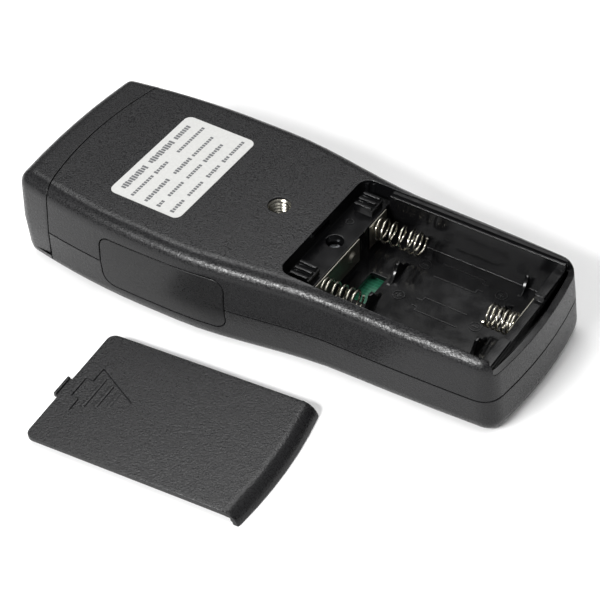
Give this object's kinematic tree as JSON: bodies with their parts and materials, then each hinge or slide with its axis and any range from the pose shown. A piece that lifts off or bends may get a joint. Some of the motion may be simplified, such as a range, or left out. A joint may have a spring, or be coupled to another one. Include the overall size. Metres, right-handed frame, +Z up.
{
  "type": "ultrasonic thickness gauge",
  "caption": "Handheld ultrasonic thickness gauge lying on its front, with its battery bay open and the bay's cover taken off beside it.",
  "frame": {"origin": "middle of the gauge's front face, which lies on the table", "axes": "+X along the gauge towards the battery end, +Y away from the loose cover, +Z up, out of the back"},
  "size_m": [0.1795, 0.1355, 0.0339],
  "materials": {
    "case": "charcoal ABS with a fine matte grain",
    "panel": "charcoal ABS, satin",
    "cover": "charcoal ABS with a fine matte grain",
    "insert": "nickel-plated brass, turned",
    "label": "white printed film",
    "spring": "nickel-plated spring steel wire",
    "contact": "nickel-plated spring steel strip",
    "board": "green solder mask on glass fibre",
    "lcd": "grey-green display glass",
    "lens": "clear acrylic with a dark border",
    "strip": "conductive elastomer",
    "mat": "silicone rubber",
    "key": "grey moulded plastic",
    "test_block": "ground steel",
    "socket": "nickel-plated brass, turned",
    "pin": "gold-plated brass",
    "screw": "zinc-plated steel"
  },
  "bodies": {
    "gauge": {"rear_shell": "case", "front_shell": "case", "sensor_cap": "case", "side_panel_near": "panel", "side_panel_far": "panel", "tripod_insert": "insert", "rating_label": "label", "spring_near": "spring", "spring_middle": "spring", "spring_far": "spring", "contact_link_sensor": "contact", "contact_single_sensor": "contact", "contact_link_tail": "contact", "contact_single_tail": "contact", "main_board": "board", "lcd_module": "lcd", "lcd_lens": "lens", "contact_strip": "strip", "key_mat": "mat", "test_block": "test_block", "probe_socket_transmit": "socket", "probe_socket_receive": "socket", "socket_pins": "pin", "case_screw": "screw", "board_screws": "screw"},
    "cover": {"battery_cover": "cover"},
    "button_1": {"key_1": "key"},
    "button_2": {"key_2": "key"},
    "button_3": {"key_3": "key"},
    "button_4": {"key_4": "key"},
    "button_5": {"key_5": "key"}
  },
  "joints": [
    {"name": "cover_lift", "type": "slide", "parent": "gauge", "child": "cover", "axis": [0, 0, 1], "range_m": [0, 0.06]},
    {"name": "press_1", "type": "slide", "parent": "gauge", "child": "button_1", "axis": [0, 0, 1], "range_m": [0, 0.0008], "stiffness_N_per_m": 600},
    {"name": "press_2", "type": "slide", "parent": "gauge", "child": "button_2", "axis": [0, 0, 1], "range_m": [0, 0.0008], "stiffness_N_per_m": 600},
    {"name": "press_3", "type": "slide", "parent": "gauge", "child": "button_3", "axis": [0, 0, 1], "range_m": [0, 0.0008], "stiffness_N_per_m": 600},
    {"name": "press_4", "type": "slide", "parent": "gauge", "child": "button_4", "axis": [0, 0, 1], "range_m": [0, 0.0008], "stiffness_N_per_m": 600},
    {"name": "press_5", "type": "slide", "parent": "gauge", "child": "button_5", "axis": [0, 0, 1], "range_m": [0, 0.0008], "stiffness_N_per_m": 600}
  ]
}
